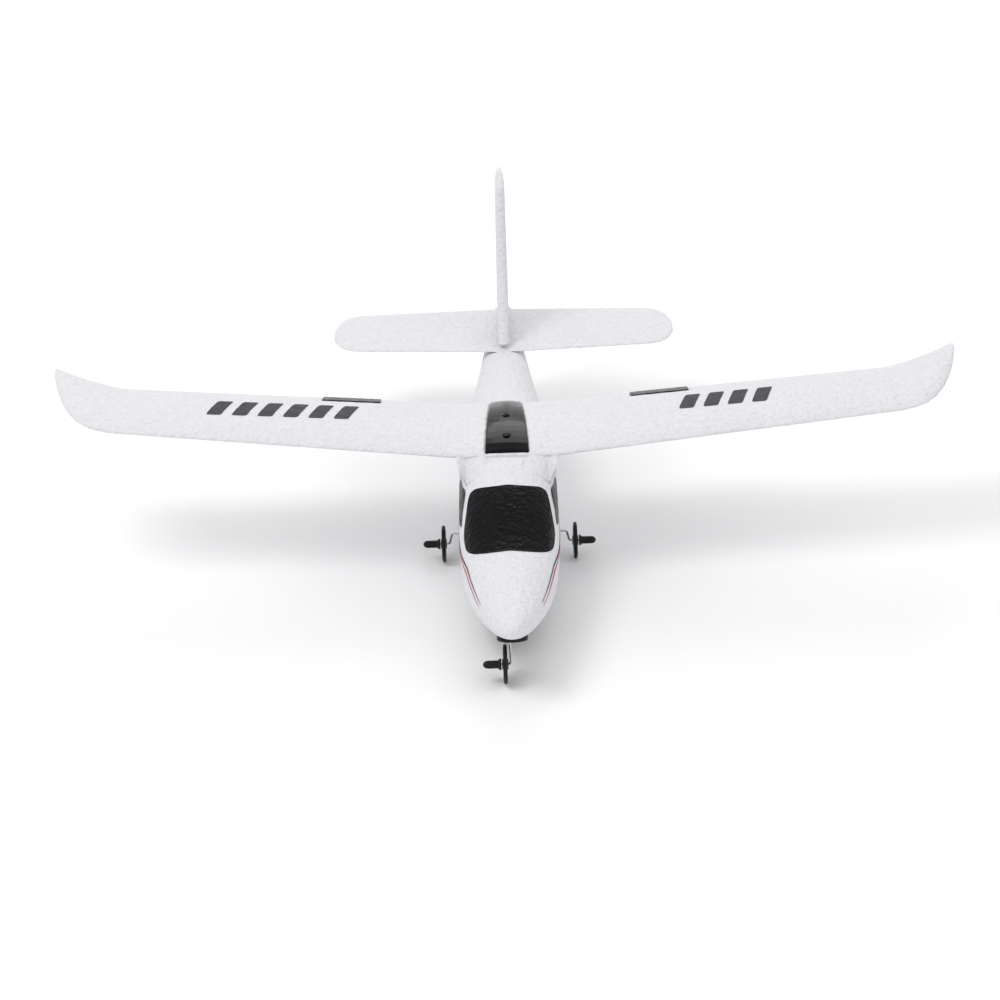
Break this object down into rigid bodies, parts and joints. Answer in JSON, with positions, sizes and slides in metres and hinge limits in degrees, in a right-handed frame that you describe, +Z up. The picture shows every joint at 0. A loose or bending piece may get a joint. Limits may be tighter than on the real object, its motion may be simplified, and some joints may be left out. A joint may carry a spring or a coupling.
{
  "type": "rc foam airplane",
  "caption": "Small high-wing foam radio-controlled glider with turned-up wing tips, two pusher propellers under the wing and a wire tricycle undercarriage.",
  "frame": {"origin": "on the ground, under the middle of the bounding box, with the plane standing on its three wheels", "axes": "+Z up; -Y the way the nose points; +X along the wingspan, towards the wing that is on the right when the nose faces the viewer"},
  "size_m": [0.344, 0.28, 0.105],
  "materials": {
    "white_foam": "moulded expanded-bead foam, fine cell texture, satin skin",
    "black_print": "black printed cabin windows on foam",
    "grey_print": "dark grey printed wing bars",
    "red_print": "red printed nose stripe",
    "gloss_black_plastic": "glossy injection-moulded",
    "matte_black_plastic": "satin injection-moulded",
    "grey_plastic": "dark grey satin",
    "white_plastic": "moulded nylon",
    "steel": "drawn wire and zinc-plated screws",
    "motor_can": "drawn motor can",
    "foil_pouch": "foil cell pouch",
    "circuit_board": "green solder mask",
    "wire_sleeve": "soft insulation"
  },
  "bodies": {
    "airframe": {"fuselage_foam": "white_foam", "wing_foam": "white_foam", "tailplane_foam": "white_foam", "fin_foam": "white_foam", "wing_hold_down_plate": "gloss_black_plastic", "wing_saddle_block": "white_plastic", "wing_plate_screw_front": "steel", "wing_plate_screw_rear": "steel", "right_motor_top_plate": "grey_plastic", "right_motor_pod": "matte_black_plastic", "right_pod_screw_1": "steel", "right_pod_screw_2": "steel", "right_motor_can": "motor_can", "right_motor_end_cap": "white_plastic", "right_motor_lead": "wire_sleeve", "right_wheel_cap": "gloss_black_plastic", "left_motor_top_plate": "grey_plastic", "left_motor_pod": "matte_black_plastic", "left_pod_screw_1": "steel", "left_pod_screw_2": "steel", "left_motor_can": "motor_can", "left_motor_end_cap": "white_plastic", "left_motor_lead": "wire_sleeve", "left_wheel_cap": "gloss_black_plastic", "main_gear_wire": "steel", "main_gear_clamp": "matte_black_plastic", "right_clamp_screw": "steel", "left_clamp_screw": "steel", "nose_gear_plate": "matte_black_plastic", "nose_gear_wire": "steel", "nose_wheel_cap": "gloss_black_plastic", "belly_cover": "matte_black_plastic", "belly_cover_screw_front": "steel", "belly_cover_screw_rear": "steel", "battery": "foil_pouch", "receiver_board": "circuit_board", "power_switch_body": "matte_black_plastic", "charge_socket": "white_plastic", "antenna_wire": "wire_sleeve"},
    "left_rotor": {"left_propeller": "matte_black_plastic", "left_motor_shaft": "steel"},
    "right_rotor": {"right_propeller": "matte_black_plastic", "right_motor_shaft": "steel"},
    "left_wheel": {"left_wheel": "matte_black_plastic"},
    "right_wheel": {"right_wheel": "matte_black_plastic"},
    "nose_wheel": {"nose_wheel": "matte_black_plastic"},
    "switch_slider": {"power_switch_slider": "white_plastic"}
  },
  "joints": [
    {"name": "left_propeller_spin", "type": "hinge", "parent": "airframe", "child": "left_rotor", "pos_m": [0.0585, 0.0215, 0.0436], "axis": [0, 1, 0], "continuous": true},
    {"name": "right_propeller_spin", "type": "hinge", "parent": "airframe", "child": "right_rotor", "pos_m": [-0.0585, 0.0215, 0.0436], "axis": [0, 1, 0], "continuous": true},
    {"name": "left_wheel_spin", "type": "hinge", "parent": "airframe", "child": "left_wheel", "pos_m": [0.0247, -0.023, 0.007], "axis": [1, 0, 0], "continuous": true},
    {"name": "right_wheel_spin", "type": "hinge", "parent": "airframe", "child": "right_wheel", "pos_m": [-0.0247, -0.023, 0.007], "axis": [1, 0, 0], "continuous": true},
    {"name": "nose_wheel_spin", "type": "hinge", "parent": "airframe", "child": "nose_wheel", "pos_m": [-0.0027, -0.1195, 0.007], "axis": [1, 0, 0], "continuous": true},
    {"name": "power_switch_slide", "type": "slide", "parent": "airframe", "child": "switch_slider", "axis": [0, 1, 0], "range_m": [0, 0.002]}
  ]
}
